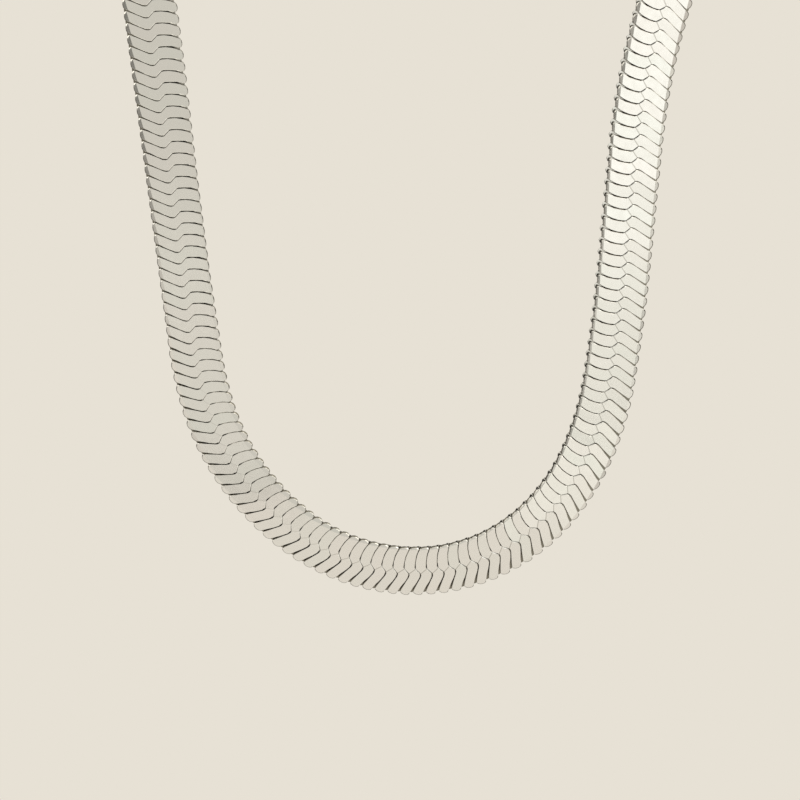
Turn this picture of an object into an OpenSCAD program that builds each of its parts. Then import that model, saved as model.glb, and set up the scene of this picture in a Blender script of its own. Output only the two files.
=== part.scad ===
// Flat snake chain necklace, worn round the neck
//
// A closed loop of rigid, flat links. Each link is a front scale and a back scale, set half a
// pitch apart and joined by a web, so the next link's front scale lies over this link's back
// scale. A stud on the back scale turns in a pocket under that front scale. The front of the
// loop lies on the chest in one plane, and the rest goes back over the shoulders and round to
// the clasp. Millimetres; the origin is where the clasp rests on the nape, +Z is up and the
// front faces -Y.

/* [Band] */
// Length of the whole closed loop, along the middle of the band
loop_length = 457; // [440:1:475]
// Width of the band
band_w = 10; // [9.6:0.1:10.6]
// Thickness of the band
band_t = 1.7; // [1.5:0.05:2]
// Distance from one link to the next
pitch = 2.2; // [2.1:0.05:2.4]

/* [Links] */
// Gap between the scales of two links, at the middle of the band
gap_middle = 0.19; // [0.16:0.01:0.24]
// Gap between two scales at the inner edge, on a straight stretch
gap_inner = 0.44; // [0.42:0.01:0.5]
// Gap between two scales at the outer edge, on a straight stretch
gap_outer = 0.26; // [0.24:0.01:0.4]
// Gap between a front scale and the back scale under it
layer_gap = 0.3; // [0.3:0.01:0.34]
// Height of the rounded end of a scale
end_round = 0.75; // [0.6:0.05:0.85]
// Width of the bevel along both edges of the band
bevel_w = 0.9; // [0.5:0.1:1.1]
// Depth of that bevel at the very edge
bevel_d = 0.4; // [0.2:0.05:0.5]
// Diameter of the stud that holds two links together
stud_d = 0.3; // [0.24:0.02:0.32]

/* [Route] */
// How far the lowest point lies to the right of the clasp
low_x = 2.1; // [-3:0.1:3]
// Angle by which the front of the loop leans back from upright
front_lean = 20; // [0:1:30]
// Distance up the front at which the loop starts to bend over the shoulders
fold_v = 110; // [106:1:116]
// Radius of that bend
fold_r = 42; // [36:1:60]
// Angle of that bend
fold_angle = 70; // [55:1:75]

/* [Fittings] */
// Least length of an end cap without its eye
cap_l = 4.4; // [3.6:0.1:6]
// How much wider and thicker than the band an end cap is
cap_over = 0.8; // [0.4:0.1:1.2]
// Outer diameter of the eye on an end cap
eye_d = 3.8; // [3.4:0.1:4.4]
// Diameter of the hole in the eye
eye_hole = 2.2; // [2:0.1:2.4]
// Length of the clasp loop, outside
clasp_l = 12; // [11:0.5:14]
// Width of the clasp loop, outside
clasp_w = 5.6; // [5:0.1:7]
// Diameter of the clasp's wire
clasp_wire = 1.3; // [1:0.1:1.5]

/* [Hidden] */
silver = [0.80, 0.79, 0.76];
clearance = 0.14;

// Arcs of each arm, from the lowest point up. Columns: length, turn in degrees
RIGHT_ARM = [
    [25, 42.5],
    [10, 15.5],
    [10, 12],
    [12, 11.5],
    [22, 4],
    [22, 0],
    [30, -12]
];
LEFT_ARM = [
    [25, 38.5],
    [20, 23.5],
    [10, 12],
    [12, 9.5],
    [65, 0]
];
// How far the face turns outward. Columns: distance from the lowest point, angle in degrees
RIGHT_ROLL = [
    [0, 12],
    [60, 12],
    [131, 10]
];
LEFT_ROLL = [
    [0, 12],
    [25, 9],
    [70, 0],
    [132, -6]
];
nape_roll = 20;

// Line of the gap between two links. Columns: along the band, toward the inside of the loop
half_w = band_w / 2;
round_y = half_w - end_round;
GAP_LINE = [
    [0.25, round_y],
    [-0.52, 0.65],
    [0.52, -0.65],
    [-1.3, -round_y]
];

// Straight stretch on each side of the clasp's middle. The caps' own links are the first and
// the last of the row, and each block starts just clear of the next link's scales
left_block_x = 0.8;
right_block_x = 0.1;
eye_sunk = 0.5;
eye_x = clasp_l / 2 - clasp_wire / 2;
eye_reach = cap_l + eye_d / 2 - eye_sunk;
nape_straight = eye_x + eye_reach + left_block_x + pitch;

function column_sum(rows, i = 0) = i < len(rows) ? rows[i][0] + column_sum(rows, i + 1) : 0;

// State [x, v, heading] at the end of an arc that starts at state q
function arc_end(q, length, bend) =
    abs(bend) < 0.0001
    ? [q[0] + length * cos(q[2]), q[1] + length * sin(q[2]), q[2]]
    : let (r = 180 / (PI * bend), h = q[2] + bend * length)
      [q[0] + r * (sin(h) - sin(q[2])), q[1] + r * (cos(q[2]) - cos(h)), h];

// State after the distance s along a row of arcs; the last arc goes on as far as needed
function along(rows, s, q, i = 0) =
    let (bend = rows[i][1] / rows[i][0])
    s <= rows[i][0] || i == len(rows) - 1
    ? arc_end(q, s, bend)
    : along(rows, s - rows[i][0], arc_end(q, rows[i][0], bend), i + 1);

// Top of each arm. From there a straight of unknown length a and one arc reach the nape, so
// the height and the length at the nape are both sums of a constant and a factor times a
function arm_top(rows, x) = along(rows, column_sum(rows), [x, 0, 0]);
function nape_sums(q, s) =
    let (k = 1 / sin(q[2]), turn = (180 - q[2]) * PI / 180, x = q[0] - nape_straight)
    [
        q[1] + x * (1 + cos(q[2])) * k,
        (1 + cos(q[2])) * k,
        s + x * turn * k + nape_straight,
        1 + cos(q[2]) * turn * k
    ];
top_r = arm_top(RIGHT_ARM, low_x);
top_l = arm_top(LEFT_ARM, -low_x);
sum_r = nape_sums(top_r, column_sum(RIGHT_ARM));
sum_l = nape_sums(top_l, column_sum(LEFT_ARM));
rise_gap = sum_l[0] - sum_r[0];
length_gap = loop_length - sum_r[2] - sum_l[2];
determinant = sum_r[1] * sum_l[3] + sum_l[1] * sum_r[3];
rise_r = (rise_gap * sum_l[3] + length_gap * sum_l[1]) / determinant;
rise_l = (length_gap * sum_r[1] - rise_gap * sum_r[3]) / determinant;

// Whole half of the loop: the arm, its straight, the arc to the nape and the clasp's straight
function half_loop(arm, rise, q) =
    let (
        r = (q[0] - nape_straight + rise * cos(q[2])) / sin(q[2]),
        turn = 180 - q[2]
    )
    concat(arm, [[rise, 0], [r * turn * PI / 180, turn], [nape_straight, 0]]);
HALF_R = half_loop(RIGHT_ARM, rise_r, top_r);
HALF_L = half_loop(LEFT_ARM, rise_l, top_l);
length_r = column_sum(HALF_R);
length_l = column_sum(HALF_L);
ROLL_R = concat(RIGHT_ROLL, [[length_r - nape_straight, nape_roll]]);
ROLL_L = concat(LEFT_ROLL, [[length_l - nape_straight, nape_roll]]);

// Distance v up the flat loop, carried over the shoulder bend: [y, z, lean from upright]
function fold(v) =
    let (turn = min(max((v - fold_v) / fold_r * 180 / PI, 0), fold_angle))
    let (
        front = min(v, fold_v),
        back = max(v - fold_v - fold_r * fold_angle * PI / 180, 0),
        lean = front_lean + turn
    )
    [
        front * sin(front_lean) + fold_r * (cos(front_lean) - cos(lean)) + back * sin(lean),
        front * cos(front_lean) + fold_r * (sin(lean) - sin(front_lean)) + back * cos(lean),
        lean
    ];

// Frame at the distance s from the lowest point, positive up the right arm. Its axes are the
// way along the band, the way to the inside of the loop, and out of the face
function frame_axes(s) =
    let (
        side = s < 0 ? -1 : 1,
        q = along(side < 0 ? HALF_L : HALF_R, abs(s), [side * low_x, 0, 0]),
        roll = lookup(abs(s), side < 0 ? ROLL_L : ROLL_R),
        f = fold(q[1]),
        up = [0, sin(f[2]), cos(f[2])],
        face = [0, -cos(f[2]), sin(f[2])],
        travel = cos(q[2]) * [1, 0, 0] + side * sin(q[2]) * up,
        outward = cross(travel, face)
    )
    [
        [side * q[0], f[0], f[1]],
        travel,
        face * sin(roll) - outward * cos(roll),
        face * cos(roll) + outward * sin(roll)
    ];
nape_axes = frame_axes(length_r);
nape_point = nape_axes[0] - nape_axes[3] * band_t / 2;
function frame_matrix(s) =
    let (a = frame_axes(s), p = a[0] - nape_point)
    [
        [a[1][0], a[2][0], a[3][0], p[0]],
        [a[1][1], a[2][1], a[3][1], p[1]],
        [a[1][2], a[2][2], a[3][2], p[2]],
        [0, 0, 0, 1]
    ];

// Links between the two end caps, evenly spread
link_count = floor((loop_length - 2 * nape_straight) / pitch) + 1;
middle_s = (length_r - length_l) / 2;
function link_s(i) = middle_s + (i - (link_count - 1) / 2) * pitch;
// First link on the right of the lowest point
low_link = ceil((link_count - 1) / 2 - middle_s / pitch);
// Distance from a cap's own link to its eye
cap_reach = (loop_length - (link_count + 1) * pitch) / 2 - eye_x;

// Half of the gap between two links at the place y across the band
function half_gap(y) =
    (gap_middle + (y > 0 ? gap_inner - gap_middle : gap_outer - gap_middle) * abs(y) / round_y) / 2;
// One side of a scale: the gap line, moved along the band and held back from it by half a gap
function scale_side(move, way) = [for (q = GAP_LINE) [q[0] + move + way * half_gap(q[1]), q[1]]];
// Points of the rounded end between the corners a and b, which bulges by end_round
function scale_end(a, b) =
    let (
        half = norm(b - a) / 2,
        r = (half * half + end_round * end_round) / (2 * end_round),
        side = sign(a[1]),
        c = (a + b) / 2 - [0, side * (r - end_round)],
        spread = asin(half / r),
        way = sign(b[0] - a[0])
    )
    [for (t = [-1 / 3, 1 / 3]) c + r * [way * sin(t * spread), side * cos(t * spread)]];
function last(rows) = rows[len(rows) - 1];
function reversed(rows) = [for (i = [len(rows) - 1:-1:0]) rows[i]];

// Strip between two gap lines, with a rounded end at each edge of the band
module scale_strip(from, to, low, high) {
    a = scale_side(from, 1);
    b = reversed(scale_side(to, -1));
    translate([0, 0, low])
        linear_extrude(high - low)
            polygon(concat(a, scale_end(last(a), b[0]), b, scale_end(last(b), a[0])));
}

// Outline of the band across, with both edges bevelled, as a bar along it
module edge_profile() {
    reach = 3 * pitch;
    flat = half_w - bevel_w;
    side = band_t / 2 - bevel_d;
    rotate([90, 0, 90])
        linear_extrude(2 * reach, center = true)
            polygon([
                [-flat, band_t / 2],
                [-half_w, side],
                [-half_w, -side],
                [-flat, -band_t / 2],
                [flat, -band_t / 2],
                [half_w, -side],
                [half_w, side],
                [flat, band_t / 2]
            ]);
}

// One link, with its middle at the origin
module link() {
    face = layer_gap / 2;
    stud_top = face + 0.34;
    pocket_top = stud_top + clearance;
    difference() {
        union() {
            intersection() {
                union() {
                    scale_strip(-3 * pitch / 4, pitch / 4, face, band_t / 2);
                    scale_strip(-pitch / 4, pitch / 4, -face, face);
                    scale_strip(-pitch / 4, 3 * pitch / 4, -band_t / 2, -face);
                }
                edge_profile();
            }
            translate([pitch / 2, 0, -face - 0.2])
                cylinder(h = stud_top + face + 0.2, d = stud_d, $fn = 16);
        }
        translate([-pitch / 2, 0, face - 1])
            cylinder(h = pocket_top - face + 1, d = stud_d + 2 * clearance, $fn = 16);
    }
}

// Links from one number up to the one before another, counted from the left end cap
module links(from, to) {
    for (i = [from:to - 1])
        multmatrix(frame_matrix(link_s(i)))
            link();
}

module chain_left() {
    color(silver)
        links(0, low_link);
}

module chain_right() {
    color(silver)
        links(low_link, link_count);
}

// Block of an end cap from x = 0 to the left, with its upright eye at the distance reach
module cap_block(reach) {
    w = band_w + cap_over;
    t = band_t + cap_over;
    l = reach - eye_d / 2 + eye_sunk;
    bevel = 0.5;
    eye_w = 1.2;
    translate([-l, 0, 0])
        rotate([90, 0, 90])
            linear_extrude(l)
                polygon([
                    [-w / 2 + bevel, t / 2],
                    [-w / 2, t / 2 - bevel],
                    [-w / 2, -t / 2 + bevel],
                    [-w / 2 + bevel, -t / 2],
                    [w / 2 - bevel, -t / 2],
                    [w / 2, -t / 2 + bevel],
                    [w / 2, t / 2 - bevel],
                    [w / 2 - bevel, t / 2]
                ]);
    translate([-reach, eye_w / 2, 0])
        rotate([90, 0, 0])
            difference() {
                cylinder(h = eye_w, d = eye_d, $fn = 48);
                translate([0, 0, -1])
                    cylinder(h = eye_w + 2, d = eye_hole, $fn = 48);
            }
}

module end_cap_left() {
    color(silver)
        multmatrix(frame_matrix(link_s(-1))) {
            link();
            translate([-left_block_x, 0, 0])
                cap_block(cap_reach - left_block_x);
        }
}

module end_cap_right() {
    color(silver)
        multmatrix(frame_matrix(link_s(link_count))) {
            link();
            translate([right_block_x, 0, 0])
                mirror([1, 0, 0])
                    cap_block(cap_reach - right_block_x);
        }
}

// One closed loop of wire through both eyes
module clasp() {
    r = (clasp_w - clasp_wire) / 2;
    straight = clasp_l - clasp_w;
    color(silver)
        multmatrix(frame_matrix(length_r))
            for (side = [-1, 1]) {
                translate([side * straight / 2, 0, 0])
                    rotate([0, 0, side * 90 - 180])
                        rotate_extrude(angle = 180, $fn = 48)
                            translate([r, 0])
                                circle(d = clasp_wire, $fn = 24);
                translate([-straight / 2, side * r, 0])
                    rotate([0, 90, 0])
                        cylinder(h = straight, d = clasp_wire, $fn = 24);
            }
}

chain_left();
chain_right();
end_cap_left();
end_cap_right();
clasp();
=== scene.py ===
"""Flat snake chain necklace in polished silver: its dressed model, studio light and camera.

Every piece is worked out in millimetres in the frame of the solid part (origin where the clasp
rests on the nape, +Z up, the front faces -Y) and put into Blender in metres.
"""

import logging
import math
from dataclasses import dataclass, field, replace
from enum import Enum

import bpy
import numpy as np
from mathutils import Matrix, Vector

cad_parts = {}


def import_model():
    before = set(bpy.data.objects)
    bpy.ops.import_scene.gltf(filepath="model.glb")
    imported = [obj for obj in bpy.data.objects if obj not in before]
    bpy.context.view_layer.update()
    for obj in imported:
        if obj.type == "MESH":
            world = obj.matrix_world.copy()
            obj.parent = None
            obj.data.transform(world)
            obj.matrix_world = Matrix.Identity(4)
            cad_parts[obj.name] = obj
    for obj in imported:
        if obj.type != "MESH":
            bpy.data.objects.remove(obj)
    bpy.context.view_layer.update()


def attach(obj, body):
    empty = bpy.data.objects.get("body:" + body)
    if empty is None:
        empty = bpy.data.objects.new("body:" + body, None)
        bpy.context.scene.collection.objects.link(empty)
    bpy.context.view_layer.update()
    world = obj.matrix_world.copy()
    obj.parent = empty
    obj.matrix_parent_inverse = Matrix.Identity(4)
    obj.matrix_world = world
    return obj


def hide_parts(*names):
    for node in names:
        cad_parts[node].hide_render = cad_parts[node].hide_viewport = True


MM = 0.001
BODY = "root"
PITCH = 2.2  # distance from link to link along the middle of the band, in mm
BAND_T = 1.7  # thickness of the band, in mm
STRAIGHT = 1e-6  # bend in radians per mm below which an arc counts as straight
END_POINTS = 5  # points on the round end of a scale
log = logging.getLogger("necklace")


class Side(Enum):
    """Half of the loop, by the sign of the distance from the lowest point."""

    LEFT = -1
    RIGHT = 1


# Mesh helpers


@dataclass
class Shell:
    """One or more closed surfaces as whole arrays.

    points is (n, 3) in millimetres. faces is a list of (m, k) arrays of corner numbers, one array
    for each number of corners k. marks holds a value for each point by name, and sharp the edges
    that stay crisp, as (m, 2) corner numbers.
    """

    points: np.ndarray
    faces: list[np.ndarray]
    marks: dict[str, np.ndarray] = field(default_factory=dict)
    sharp: np.ndarray = field(default_factory=lambda: np.zeros((0, 2), int))


def join_shells(shells: list[Shell]) -> Shell:
    """Puts several shells into one, with their corner numbers moved on.

    Args:
        shells: the shells; a mark that one of them lacks is 0 there.

    Returns:
        One shell of all their surfaces.
    """
    names = sorted({name for shell in shells for name in shell.marks})
    starts = np.cumsum([0] + [len(shell.points) for shell in shells])
    return Shell(
        points=np.concatenate([shell.points for shell in shells]),
        faces=[f + start for shell, start in zip(shells, starts) for f in shell.faces],
        marks={
            name: np.concatenate(
                [shell.marks.get(name, np.zeros(len(shell.points))) for shell in shells]
            )
            for name in names
        },
        sharp=np.concatenate([shell.sharp + start for shell, start in zip(shells, starts)]),
    )


def placed(shell: Shell, origins: np.ndarray, axes: np.ndarray) -> Shell:
    """Copies a shell to many places at once.

    Each point p of copy i is origin_i + axes_i . p, where the rows of axes_i are the three
    directions, and the corner numbers of copy i are moved on by i times the number of points.

    Args:
        shell: the shell about its own origin. Its points and marks are the same for all copies or
            have one more axis in front, with those of each copy.
        origins: (n, 3) places in millimetres.
        axes: (n, 3, 3) directions of x, y and z at each place, as rows.

    Returns:
        One shell of all the copies.
    """
    n, size = len(origins), shell.points.shape[-2]
    own = np.broadcast_to(shell.points, (n, size, 3))
    points = np.einsum("npk,nkc->npc", own, axes) + origins[:, None, :]
    moves = np.arange(n)[:, None, None] * size
    return Shell(
        points=points.reshape(-1, 3),
        faces=[(f[None] + moves).reshape(-1, f.shape[1]) for f in shell.faces],
        marks={
            name: np.broadcast_to(value, (n, size)).reshape(-1) for name, value in shell.marks.items()
        },
        sharp=(shell.sharp[None] + moves).reshape(-1, 2),
    )


def ring_strip(first: int, second: int, size: int) -> np.ndarray:
    """Quads between two closed rings of the same number of points.

    Args:
        first: number of the first ring's first point.
        second: number of the second ring's first point.
        size: points in each ring.

    Returns:
        (size, 4) corner numbers: i and i+1 on the first ring, then i+1 and i on the second.
    """
    i = np.arange(size)
    j = (i + 1) % size
    return np.stack([first + i, first + j, second + j, second + i], axis=1)


def torus_faces(around: int, section: int) -> np.ndarray:
    """Quads of a closed tube: rings follow each other and the last joins the first.

    Args:
        around: number of rings.
        section: points in each ring.

    Returns:
        (around * section, 4) corner numbers.
    """
    i = np.repeat(np.arange(around), section)
    j = np.tile(np.arange(section), around)
    i2, j2 = (i + 1) % around, (j + 1) % section
    return np.stack([i * section + j, i * section + j2, i2 * section + j2, i2 * section + j], axis=1)


def scene_object(name: str, data: bpy.types.ID) -> bpy.types.Object:
    """Makes an object at the origin from a mesh, a light or a camera.

    Args:
        name: name of the object.
        data: what it shows.

    Returns:
        The object, as a part of the scene.
    """
    obj = bpy.data.objects.new(name, data)
    bpy.context.scene.collection.objects.link(obj)
    return obj


def make_piece(name: str, shell: Shell, material: bpy.types.Material) -> bpy.types.Object:
    """Makes a piece of the necklace from a shell.

    Args:
        name: name of the piece.
        shell: its surfaces, in millimetres.
        material: its finish.

    Returns:
        The object, smooth but for the shell's sharp edges, with its marks as point attributes and
        with a UV map from the marks u and v where it has them.
    """
    mesh = bpy.data.meshes.new(name)
    faces = [row for group in shell.faces for row in group.tolist()]
    mesh.from_pydata((shell.points * MM).tolist(), [], faces)
    mesh.polygons.foreach_set("use_smooth", np.ones(len(mesh.polygons), bool))
    if len(shell.sharp):
        edges = np.zeros(len(mesh.edges) * 2, int)
        mesh.edges.foreach_get("vertices", edges)
        keys = np.sort(edges.reshape(-1, 2), axis=1) @ np.array([len(shell.points), 1])
        wanted = np.sort(shell.sharp, axis=1) @ np.array([len(shell.points), 1])
        mesh.attributes.new("sharp_edge", "BOOLEAN", "EDGE").data.foreach_set(
            "value", np.isin(keys, wanted)
        )
    if "u" in shell.marks:
        corners = np.zeros(len(mesh.loops), int)
        mesh.loops.foreach_get("vertex_index", corners)
        uv = np.stack([shell.marks["u"], shell.marks["v"]], axis=1)[corners]
        mesh.uv_layers.new(name="UVMap").data.foreach_set("uv", uv.ravel())
    for mark in sorted(set(shell.marks) - {"u", "v"}):
        mesh.attributes.new(mark, "FLOAT", "POINT").data.foreach_set(
            "value", shell.marks[mark].astype(np.float32)
        )
    mesh.materials.append(material)
    mesh.validate()
    return scene_object(name, mesh)


def stand_for(piece: bpy.types.Object, node: str) -> None:
    """Lets a piece stand for a solid node, which it hides, and puts the piece on the body.

    Args:
        piece: the dressed piece.
        node: the solid node that it replaces.
    """
    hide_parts(node)
    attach(piece, BODY)


# Finishes


class MixSocket(Enum):
    """Numbers of the Mix node's sockets when it mixes colours."""

    FACTOR = 0
    FIRST = 6
    SECOND = 7
    RESULT = 2


def mix_colour(
    tree: bpy.types.NodeTree,
    factor: bpy.types.NodeSocket,
    first: bpy.types.NodeSocket | tuple,
    second: bpy.types.NodeSocket | tuple,
) -> bpy.types.NodeSocket:
    """Mixes two colours.

    Args:
        tree: node tree of the material.
        factor: share of the second colour.
        first: socket or four numbers.
        second: socket or four numbers.

    Returns:
        The mixed colour.
    """
    node = tree.nodes.new("ShaderNodeMix")
    node.data_type = "RGBA"
    tree.links.new(factor, node.inputs[MixSocket.FACTOR.value])
    for socket, colour in ((MixSocket.FIRST, first), (MixSocket.SECOND, second)):
        if isinstance(colour, bpy.types.NodeSocket):
            tree.links.new(colour, node.inputs[socket.value])
        else:
            node.inputs[socket.value].default_value = colour
    return node.outputs[MixSocket.RESULT.value]


def map_range(
    tree: bpy.types.NodeTree, value: bpy.types.NodeSocket, ends: tuple, results: tuple = (0.0, 1.0)
) -> bpy.types.ShaderNodeMapRange:
    """Makes a node that carries a value from two ends to two results.

    Args:
        tree: node tree of the material.
        value: socket with the value.
        ends: the two values that give the results.
        results: what they give.

    Returns:
        The node.
    """
    node = tree.nodes.new("ShaderNodeMapRange")
    node.inputs["From Min"].default_value, node.inputs["From Max"].default_value = ends
    node.inputs["To Min"].default_value, node.inputs["To Max"].default_value = results
    tree.links.new(value, node.inputs["Value"])
    return node


@dataclass(frozen=True)
class SilverFinish:
    """Polished silver with a faint grain, a tint for each link, painted shade in the gaps and a painted
    highlight along the rims.

    cloud and grain are the features to a metre of the broad and of the fine noise, and the
    details are how many finer layers each has. cloud_share is how much the broad noise adds to
    the tint. rough holds the roughness at the two ends of grain_range, and grain_depth is in
    metres.
    """

    name: str
    cool: tuple = (0.856, 0.861, 0.836, 1.0)
    warm: tuple = (0.884, 0.863, 0.846, 1.0)
    # The rim colour is a painted highlight along the rims, and the dark colour below it is painted
    # shade.
    rim: tuple = (0.97, 0.96, 0.93, 1.0)
    shade_colour: tuple = (0.22, 0.205, 0.17, 1.0)
    rough: tuple = (0.13, 0.2)
    cloud: float = 160.0
    cloud_detail: float = 2.0
    cloud_share: float = 0.3
    grain: float = 900.0
    grain_detail: float = 4.0
    grain_range: tuple = (0.3, 0.7)
    grain_depth: float = 0.000004
    grain_strength: float = 0.25

    def material(self) -> bpy.types.Material:
        """Makes the material, or gives it back if it is there already.

        Returns:
            The material. Base colour mixes cool and warm silver by the mark tint and by broad
            noise, goes to rim by the mark rim and to oxide by the mark recess. Roughness and a
            very fine bump come from noise at the scale of a polishing grain.
        """
        found = bpy.data.materials.get(self.name)
        if found is not None:
            return found
        material = bpy.data.materials.new(self.name)
        material.use_nodes = True
        tree = material.node_tree
        shader = tree.nodes["Principled BSDF"]
        shader.inputs["Metallic"].default_value = 1.0
        place = tree.nodes.new("ShaderNodeTexCoord").outputs["Object"]
        broad = self._noise(tree, place, self.cloud, self.cloud_detail)
        fine = self._noise(tree, place, self.grain, self.grain_detail)
        tint = self._mark(tree, "tint")
        blend = tree.nodes.new("ShaderNodeMath")
        blend.operation = "MULTIPLY_ADD"
        blend.inputs[1].default_value = self.cloud_share
        tree.links.new(broad, blend.inputs[0])
        tree.links.new(tint, blend.inputs[2])
        colour = mix_colour(tree, blend.outputs[0], self.cool, self.warm)
        # Painted highlight: lighter silver along the foot of each rim.
        colour = mix_colour(tree, self._mark(tree, "rim"), colour, self.rim)
        # Painted shade: a dark colour in the gaps, in the crease and on the rims of the ends.
        colour = mix_colour(tree, self._mark(tree, "recess"), colour, self.shade_colour)
        tree.links.new(colour, shader.inputs["Base Color"])
        rough = map_range(tree, fine, self.grain_range, self.rough)
        tree.links.new(rough.outputs["Result"], shader.inputs["Roughness"])
        bump = tree.nodes.new("ShaderNodeBump")
        bump.inputs["Strength"].default_value = self.grain_strength
        bump.inputs["Distance"].default_value = self.grain_depth
        tree.links.new(fine, bump.inputs["Height"])
        tree.links.new(bump.outputs["Normal"], shader.inputs["Normal"])
        return material

    @staticmethod
    def _noise(
        tree: bpy.types.NodeTree, place: bpy.types.NodeSocket, scale: float, detail: float
    ) -> bpy.types.NodeSocket:
        """Makes noise at the object's own coordinates.

        Args:
            tree: node tree of the material.
            place: socket with the coordinates.
            scale: features to a metre.
            detail: number of finer layers.

        Returns:
            The noise, about 0.5.
        """
        node = tree.nodes.new("ShaderNodeTexNoise")
        node.inputs["Scale"].default_value = scale
        node.inputs["Detail"].default_value = detail
        tree.links.new(place, node.inputs["Vector"])
        return node.outputs["Fac"]

    @staticmethod
    def _mark(tree: bpy.types.NodeTree, name: str) -> bpy.types.NodeSocket:
        """Reads one of the mesh's point marks.

        Args:
            tree: node tree of the material.
            name: name of the mark.

        Returns:
            Its value.
        """
        node = tree.nodes.new("ShaderNodeAttribute")
        node.attribute_name = name
        return node.outputs["Fac"]


# Route of the band


@dataclass
class Route:
    """Middle line of the band, with the same sizes as the solid part, in mm and degrees.

    The arms are rows of (length, turn) from the lowest point up. The rolls are rows of (distance
    from the lowest point, angle by which the face turns outward).
    """

    loop_length: float = 457.0
    band_t: float = BAND_T
    pitch: float = PITCH
    low_x: float = 2.1
    front_lean: float = 20.0
    fold_v: float = 110.0
    fold_r: float = 42.0
    fold_angle: float = 70.0
    nape_roll: float = 20.0
    nape_straight: float = 14.15
    right_arm: tuple = ((25, 42.5), (10, 15.5), (10, 12), (12, 11.5), (22, 4), (22, 0), (30, -12))
    left_arm: tuple = ((25, 38.5), (20, 23.5), (10, 12), (12, 9.5), (65, 0))
    right_roll: tuple = ((0, 12), (60, 12), (131, 10))
    left_roll: tuple = ((0, 12), (25, 9), (70, 0), (132, -6))

    def __post_init__(self) -> None:
        """Closes the loop, so that both halves meet at the nape and have the right length."""
        arms = {Side.RIGHT: self.right_arm, Side.LEFT: self.left_arm}
        tops, sums = {}, {}
        for side, arm in arms.items():
            length = float(sum(row[0] for row in arm))
            top = self._walk(np.array(arm, float), side, np.array([length]))[:, 0]
            tops[side], sums[side] = top, self._nape_sums(top, length)
        right, left = sums[Side.RIGHT], sums[Side.LEFT]
        rise_gap = left[0] - right[0]
        length_gap = self.loop_length - right[2] - left[2]
        determinant = right[1] * left[3] + left[1] * right[3]
        rises = {
            Side.RIGHT: (rise_gap * left[3] + length_gap * left[1]) / determinant,
            Side.LEFT: (length_gap * right[1] - rise_gap * right[3]) / determinant,
        }
        self.halves = {side: self._half(arms[side], rises[side], tops[side]) for side in Side}
        self.lengths = {side: float(rows[:, 0].sum()) for side, rows in self.halves.items()}
        ends = {side: self.lengths[side] - self.nape_straight for side in Side}
        self.rolls = {
            Side.RIGHT: np.array(self.right_roll + ((ends[Side.RIGHT], self.nape_roll),), float),
            Side.LEFT: np.array(self.left_roll + ((ends[Side.LEFT], self.nape_roll),), float),
        }
        self.nape_point = np.zeros(3)
        origin, axes = self.frames(np.array([self.lengths[Side.RIGHT]]))
        self.nape_point = origin[0] - axes[0, 2] * self.band_t / 2
        span = self.loop_length - 2 * self.nape_straight
        self.link_count = int(math.floor(span / self.pitch)) + 1
        self.middle = (self.lengths[Side.RIGHT] - self.lengths[Side.LEFT]) / 2
        self.low_link = math.ceil((self.link_count - 1) / 2 - self.middle / self.pitch)

    def link_place(self, index: np.ndarray) -> np.ndarray:
        """Distance of links from the lowest point, spread evenly about the middle of the chain."""
        return self.middle + (index - (self.link_count - 1) / 2) * self.pitch

    def _walk(self, rows: np.ndarray, side: Side, s: np.ndarray) -> np.ndarray:
        """State at distances along a row of arcs.

        On an arc of curvature k that starts at (x, v, h), the heading is h + k l, and x and v grow
        by the sine and cosine differences of the heading over k, or by l times them if k is 0.

        Args:
            rows: (n, 2) lengths and turns in degrees.
            side: half of the loop, which sets the start.
            s: distances; the last arc goes on as far as needed.

        Returns:
            (3, len(s)) x, v and heading in radians.
        """
        starts = np.concatenate([[0], np.cumsum(rows[:, 0])])
        bends = np.radians(rows[:, 1]) / rows[:, 0]
        states = [np.array([side.value * self.low_x, 0.0, 0.0])]
        for length, bend in zip(rows[:, 0], bends):
            states.append(self._arc(states[-1][:, None], np.array([length]), np.array([bend]))[:, 0])
        row = np.clip(np.searchsorted(starts, s, side="right") - 1, 0, len(rows) - 1)
        return self._arc(np.array(states)[row].T, s - starts[row], bends[row])

    @staticmethod
    def _arc(start: np.ndarray, length: np.ndarray, bend: np.ndarray) -> np.ndarray:
        """Ends of arcs, by the differences of the heading's sine and cosine over the bend.

        Args:
            start: (3, n) states at the starts: x, v and heading.
            length: (n,) lengths.
            bend: (n,) curvatures in radians per mm.

        Returns:
            (3, n) states at the ends.
        """
        x, v, h = start
        straight = np.abs(bend) < STRAIGHT
        k = np.where(straight, 1.0, bend)
        end = h + bend * length
        dx = np.where(straight, length * np.cos(h), (np.sin(end) - np.sin(h)) / k)
        dv = np.where(straight, length * np.sin(h), (np.cos(h) - np.cos(end)) / k)
        return np.array([x + dx, v + dv, end])

    def _nape_sums(self, top: np.ndarray, length: float) -> tuple[float, float, float, float]:
        """Height and length at the nape, each as a constant and a factor times the rise.

        They add up the arm, the straight rise above it, the arc to the nape and the straight.

        Args:
            top: state at the top of an arm.
            length: length of the arm.

        Returns:
            Height's constant and factor, then length's constant and factor.
        """
        x, v, h = top
        k, turn = 1 / math.sin(h), math.pi - h
        x -= self.nape_straight
        return (
            v + x * (1 + math.cos(h)) * k,
            (1 + math.cos(h)) * k,
            length + x * turn * k + self.nape_straight,
            1 + math.cos(h) * turn * k,
        )

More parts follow.
